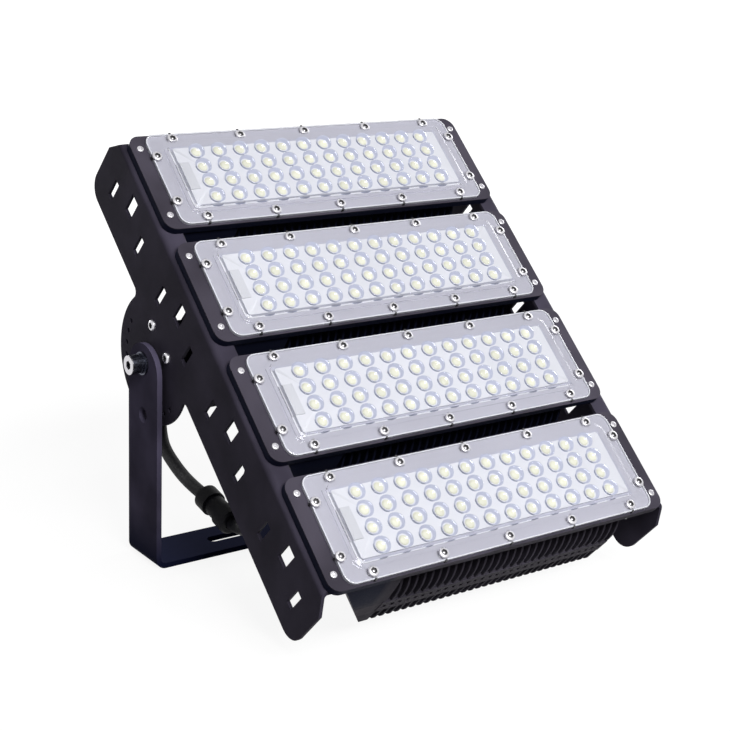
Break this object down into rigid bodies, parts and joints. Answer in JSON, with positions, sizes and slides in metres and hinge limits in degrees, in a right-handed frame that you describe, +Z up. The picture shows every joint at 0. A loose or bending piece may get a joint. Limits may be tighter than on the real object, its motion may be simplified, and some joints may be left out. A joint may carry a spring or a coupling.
{
  "type": "modular led floodlight",
  "caption": "Tilting floodlight with rows of domed lenses over finned heat sinks, folded side plates with an index arc, a rear driver and a U bracket with slotted foot.",
  "frame": {"origin": "middle of the bottom face of the bracket's foot", "axes": "+X to the right across the light along the tilt axis, +Y to the back, +Z up away from the foot; the light faces -Y and upwards"},
  "size_m": [0.3432, 0.3216, 0.3095],
  "materials": {
    "black_coat": "satin powder coat",
    "black_cast": "black anodised satin",
    "zinc": "zinc plated",
    "board_white": "white solder mask",
    "clear_lens": "clear polycarbonate",
    "black_nylon": "moulded nylon",
    "lead_rubber": "rubber sheath"
  },
  "bodies": {
    "bracket_body": {"bracket": "black_coat", "pivot_bolt_left": "zinc", "pivot_bolt_right": "zinc", "pivot_flat_washers": "zinc", "pivot_spring_washers": "zinc", "pivot_spacers": "zinc", "pivot_nuts": "zinc"},
    "head": {"side_plate_left": "black_coat", "side_plate_right": "black_coat", "heat_sink_1": "black_cast", "heat_sink_2": "black_cast", "heat_sink_3": "black_cast", "heat_sink_4": "black_cast", "led_board_1": "board_white", "led_board_2": "board_white", "led_board_3": "board_white", "led_board_4": "board_white", "lens_cover_1": "clear_lens", "lens_cover_2": "clear_lens", "lens_cover_3": "clear_lens", "lens_cover_4": "clear_lens", "module_gland_1": "black_nylon", "module_gland_2": "black_nylon", "module_gland_3": "black_nylon", "module_gland_4": "black_nylon", "driver_tray": "black_coat", "driver_housing": "black_cast", "driver_end_caps": "black_cast", "driver_output_gland": "black_nylon", "driver_inlet_gland": "black_nylon", "lead_connector": "black_nylon", "driver_lead": "lead_rubber", "module_lead": "lead_rubber"}
  },
  "joints": [
    {"name": "tilt", "type": "hinge", "parent": "bracket_body", "child": "head", "pos_m": [0, 0, 0.153], "axis": [1, 0, 0], "range_deg": [-126, 42]}
  ]
}
